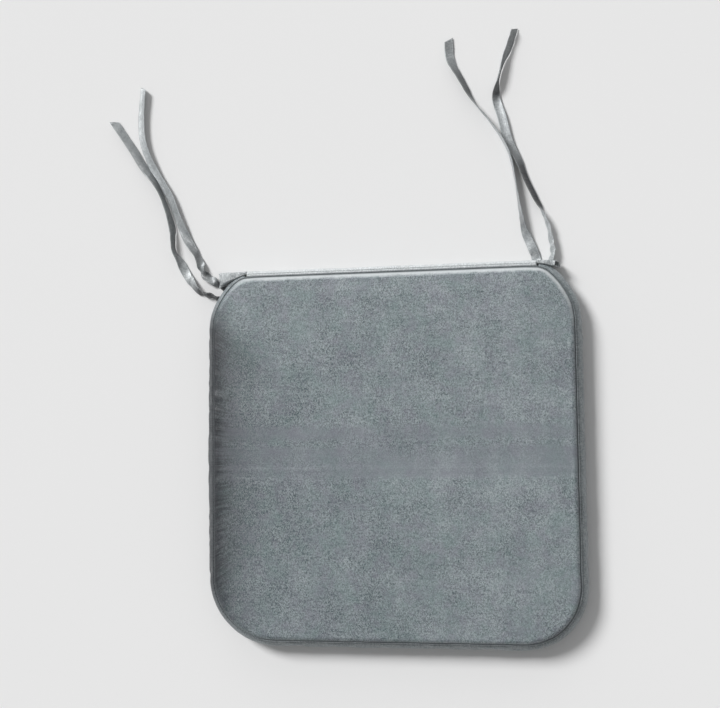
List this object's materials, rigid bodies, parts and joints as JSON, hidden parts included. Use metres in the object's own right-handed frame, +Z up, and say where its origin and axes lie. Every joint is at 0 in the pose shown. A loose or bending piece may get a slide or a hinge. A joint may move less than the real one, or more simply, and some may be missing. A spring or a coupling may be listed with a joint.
{
  "type": "chair seat pad",
  "caption": "Square foam chair seat pad in a zip-off satin cover with rounded corners, a bulging side band and flat tie ribbons at the back corners.",
  "frame": {"origin": "middle of the underside of the pad, without its ties", "axes": "+Z up out of the seat surface, +Y towards the back of the chair where the ties are, +X to the right seen from above"},
  "size_m": [0.5191, 0.6535, 0.03],
  "materials": {
    "cover_fabric": "blue-grey satin polyester with a soft sheen",
    "base_fabric": "plain matt woven polyester",
    "ribbon_fabric": "folded satin ribbon",
    "foam": "open-cell polyurethane foam",
    "zip_tape": "woven zip tape",
    "zip_coil": "nylon coil",
    "zip_metal": "nickel-plated zinc",
    "thread": "polyester sewing thread"
  },
  "bodies": {
    "cushion": {"foam_core": "foam", "top_panel": "cover_fabric", "bottom_panel": "base_fabric", "side_band": "cover_fabric", "top_seam_ridge": "cover_fabric", "bottom_seam_ridge": "cover_fabric", "back_band_upper": "cover_fabric", "back_band_lower": "cover_fabric", "end_tuck_left": "cover_fabric", "end_tuck_right": "cover_fabric", "zip_tape_upper": "zip_tape", "zip_tape_lower": "zip_tape", "zip_coil_upper": "zip_coil", "zip_coil_lower": "zip_coil", "zip_stop_left": "zip_metal", "zip_stop_right": "zip_metal", "tie_left_inner": "ribbon_fabric", "tie_left_outer": "ribbon_fabric", "tie_right_inner": "ribbon_fabric", "tie_right_outer": "ribbon_fabric", "bar_tack_left_inner": "thread", "bar_tack_left_outer": "thread", "bar_tack_right_inner": "thread", "bar_tack_right_outer": "thread"},
    "slider": {"zip_slider": "zip_metal"},
    "pull": {"zip_pull": "zip_metal"}
  },
  "joints": [
    {"name": "zip_slide", "type": "slide", "parent": "cushion", "child": "slider", "axis": [1, 0, 0], "range_m": [0, 0.278]},
    {"name": "pull_swing", "type": "hinge", "parent": "slider", "child": "pull", "pos_m": [-0.139, 0.1984, 0.01355], "axis": [0, 0, 1], "range_deg": [0, 180]}
  ]
}
